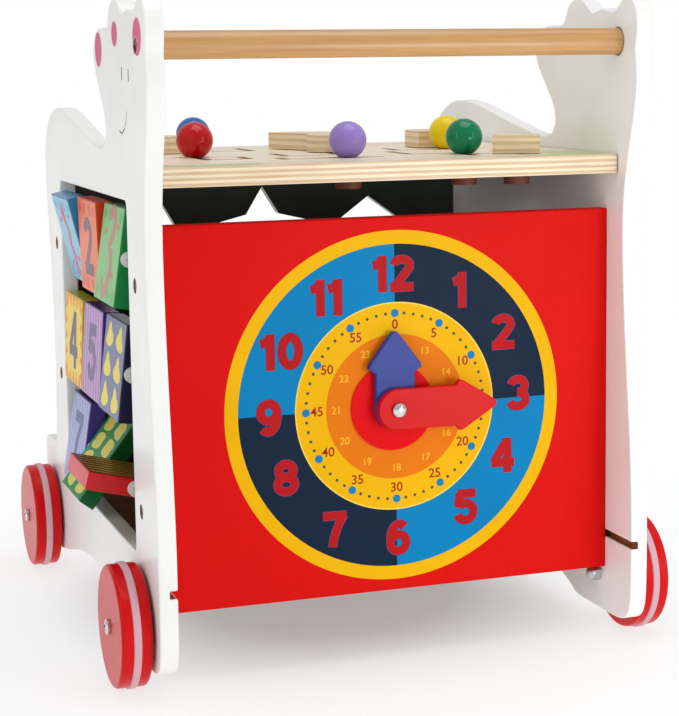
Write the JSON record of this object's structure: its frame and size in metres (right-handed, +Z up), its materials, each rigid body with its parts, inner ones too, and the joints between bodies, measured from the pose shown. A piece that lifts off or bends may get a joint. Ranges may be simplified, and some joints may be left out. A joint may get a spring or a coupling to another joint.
{
  "type": "baby walker",
  "caption": "Wooden push-along walker with hippo-shaped sides, a round push handle, a clock panel, turning number tiles, a slotted bead board and a shape sorter.",
  "frame": {"origin": "on the floor, under the middle of the whole walker's outline", "axes": "+X is the right side seen from the clock panel, +Y is the back, towards the sorter panel, and +Z is up; the handle is at the -Y end"},
  "size_m": [0.3873, 0.41, 0.436],
  "materials": {
    "white_lacquer": "glossy white lacquer on fibreboard",
    "red_lacquer": "glossy red lacquer with a printed clock dial",
    "dark_green_lacquer": "satin dark green lacquer",
    "birch_ply": "clear lacquered birch plywood with light print",
    "hardboard": "raw brown hardboard",
    "beech": "clear lacquered beech",
    "raw_wood": "raw turned wood",
    "zinc_steel": "zinc plated",
    "chrome_steel": "polished",
    "white_plastic": "smooth white plastic",
    "dial_disc_red": "satin red",
    "hour_hand_blue": "glossy blue violet lacquer",
    "minute_hand_red": "glossy red lacquer",
    "wheel_red": "glossy red lacquer",
    "tyre_rubber": "soft matt grey pink rubber",
    "tile_1_print": "glossy printed and lacquered fibreboard",
    "tile_2_print": "glossy printed and lacquered fibreboard",
    "tile_3_print": "glossy printed and lacquered fibreboard",
    "tile_4_print": "glossy printed and lacquered fibreboard",
    "tile_5_print": "glossy printed and lacquered fibreboard",
    "tile_6_print": "glossy printed and lacquered fibreboard",
    "tile_7_print": "glossy printed and lacquered fibreboard",
    "tile_8_print": "glossy printed and lacquered fibreboard",
    "tile_9_print": "glossy printed and lacquered fibreboard",
    "ball_red_gloss": "glossy lacquer",
    "ball_blue_gloss": "glossy lacquer",
    "ball_purple_gloss": "glossy lacquer",
    "ball_green_gloss": "glossy lacquer",
    "ball_yellow_gloss": "glossy lacquer",
    "slider_ply": "printed plywood"
  },
  "bodies": {
    "walker_body": {"left_side_panel": "white_lacquer", "right_side_panel": "white_lacquer", "clock_panel": "red_lacquer", "sorter_panel": "dark_green_lacquer", "top_board": "birch_ply", "floor_board": "hardboard", "handle": "beech", "handle_bolts": "zinc_steel", "panel_bolts": "zinc_steel", "board_dowels": "raw_wood", "tile_rods": "zinc_steel", "tile_washers": "white_plastic", "axle_bolts": "chrome_steel", "axle_washers": "white_plastic", "axle_nuts": "zinc_steel", "clock_disc": "dial_disc_red", "clock_pivot_bolt": "chrome_steel", "clock_pivot_nut": "zinc_steel"},
    "hour_hand": {"hour_hand": "hour_hand_blue"},
    "minute_hand": {"minute_hand": "minute_hand_red"},
    "wheel_front_left": {"wheel_front_left": "wheel_red", "tyre_front_left": "tyre_rubber"},
    "wheel_front_right": {"wheel_front_right": "wheel_red", "tyre_front_right": "tyre_rubber"},
    "wheel_rear_left": {"wheel_rear_left": "wheel_red", "tyre_rear_left": "tyre_rubber"},
    "wheel_rear_right": {"wheel_rear_right": "wheel_red", "tyre_rear_right": "tyre_rubber"},
    "tile_1": {"tile_1": "tile_1_print"},
    "tile_2": {"tile_2": "tile_2_print"},
    "tile_3": {"tile_3": "tile_3_print"},
    "tile_4": {"tile_4": "tile_4_print"},
    "tile_5": {"tile_5": "tile_5_print"},
    "tile_6": {"tile_6": "tile_6_print"},
    "tile_7": {"tile_7": "tile_7_print"},
    "tile_8": {"tile_8": "tile_8_print"},
    "tile_9": {"tile_9": "tile_9_print"},
    "ball_red": {"ball_red": "ball_red_gloss", "ball_retainer_red": "raw_wood"},
    "ball_blue": {"ball_blue": "ball_blue_gloss", "ball_retainer_blue": "raw_wood"},
    "ball_purple": {"ball_purple": "ball_purple_gloss", "ball_retainer_purple": "raw_wood"},
    "ball_green": {"ball_green": "ball_green_gloss", "ball_retainer_green": "raw_wood"},
    "ball_yellow": {"ball_yellow": "ball_yellow_gloss", "ball_retainer_yellow": "raw_wood"},
    "slider_house": {"slider_house": "slider_ply", "slider_retainer_house": "raw_wood"},
    "slider_cloud": {"slider_cloud": "slider_ply", "slider_retainer_cloud": "raw_wood"},
    "slider_hill": {"slider_hill": "slider_ply", "slider_retainer_hill": "raw_wood"},
    "slider_block": {"slider_block": "slider_ply", "slider_retainer_block": "raw_wood"}
  },
  "joints": [
    {"name": "spin_wheel_front_left", "type": "hinge", "parent": "walker_body", "child": "wheel_front_left", "pos_m": [-0.1795, -0.153, 0.0405], "axis": [1, 0, 0], "continuous": true},
    {"name": "spin_wheel_front_right", "type": "hinge", "parent": "walker_body", "child": "wheel_front_right", "pos_m": [0.1795, -0.153, 0.0405], "axis": [1, 0, 0], "continuous": true},
    {"name": "spin_wheel_rear_left", "type": "hinge", "parent": "walker_body", "child": "wheel_rear_left", "pos_m": [-0.1795, 0.165, 0.0405], "axis": [1, 0, 0], "continuous": true},
    {"name": "spin_wheel_rear_right", "type": "hinge", "parent": "walker_body", "child": "wheel_rear_right", "pos_m": [0.1795, 0.165, 0.0405], "axis": [1, 0, 0], "continuous": true},
    {"name": "turn_hour_hand", "type": "hinge", "parent": "walker_body", "child": "hour_hand", "pos_m": [0, -0.1675, 0.1705], "axis": [0, 1, 0], "continuous": true},
    {"name": "turn_minute_hand", "type": "hinge", "parent": "walker_body", "child": "minute_hand", "pos_m": [0, -0.1735, 0.1705], "axis": [0, 1, 0], "continuous": true},
    {"name": "turn_tile_1", "type": "hinge", "parent": "walker_body", "child": "tile_1", "pos_m": [-0.1615, 0.06108, 0.27], "axis": [0, 1, 0], "continuous": true},
    {"name": "turn_tile_2", "type": "hinge", "parent": "walker_body", "child": "tile_2", "pos_m": [-0.1615, -0.00875, 0.27], "axis": [0, 1, 0], "continuous": true},
    {"name": "turn_tile_3", "type": "hinge", "parent": "walker_body", "child": "tile_3", "pos_m": [-0.1615, -0.07858, 0.27], "axis": [0, 1, 0], "continuous": true},
    {"name": "turn_tile_4", "type": "hinge", "parent": "walker_body", "child": "tile_4", "pos_m": [-0.1615, 0.06108, 0.1945], "axis": [0, 1, 0], "continuous": true},
    {"name": "turn_tile_5", "type": "hinge", "parent": "walker_body", "child": "tile_5", "pos_m": [-0.1615, -0.00875, 0.1945], "axis": [0, 1, 0], "continuous": true},
    {"name": "turn_tile_6", "type": "hinge", "parent": "walker_body", "child": "tile_6", "pos_m": [-0.1615, -0.07858, 0.1945], "axis": [0, 1, 0], "continuous": true},
    {"name": "turn_tile_7", "type": "hinge", "parent": "walker_body", "child": "tile_7", "pos_m": [-0.1615, 0.06108, 0.119], "axis": [0, 1, 0], "continuous": true},
    {"name": "turn_tile_8", "type": "hinge", "parent": "walker_body", "child": "tile_8", "pos_m": [-0.1615, -0.00875, 0.119], "axis": [0, 1, 0], "continuous": true},
    {"name": "turn_tile_9", "type": "hinge", "parent": "walker_body", "child": "tile_9", "pos_m": [-0.1615, -0.07858, 0.119], "axis": [0, 1, 0], "continuous": true},
    {"name": "slide_ball_red", "type": "slide", "parent": "walker_body", "child": "ball_red", "axis": [0, 1, 0], "range_m": [-0.0355, 0.029]},
    {"name": "slide_ball_blue", "type": "slide", "parent": "walker_body", "child": "ball_blue", "axis": [0, 1, 0], "range_m": [-0.031, 0.026]},
    {"name": "slide_ball_purple", "type": "slide", "parent": "walker_body", "child": "ball_purple", "axis": [1, 0, 0], "range_m": [-0.0415, 0.0215]},
    {"name": "slide_ball_green", "type": "slide", "parent": "walker_body", "child": "ball_green", "axis": [0, 1, 0], "range_m": [-0.018, 0.018]},
    {"name": "slide_ball_yellow", "type": "slide", "parent": "walker_body", "child": "ball_yellow", "axis": [1, 0, 0], "range_m": [-0.036, 0.023]},
    {"name": "slide_slider_house", "type": "slide", "parent": "walker_body", "child": "slider_house", "axis": [0, 1, 0], "range_m": [0, 0.055]},
    {"name": "slide_slider_cloud", "type": "slide", "parent": "walker_body", "child": "slider_cloud", "axis": [0, 1, 0], "range_m": [-0.04, 0.045]},
    {"name": "slide_slider_hill", "type": "slide", "parent": "walker_body", "child": "slider_hill", "axis": [0, 1, 0], "range_m": [0, 0.048]},
    {"name": "slide_slider_block", "type": "slide", "parent": "walker_body", "child": "slider_block", "axis": [0, 1, 0], "range_m": [-0.011, 0.038]}
  ]
}
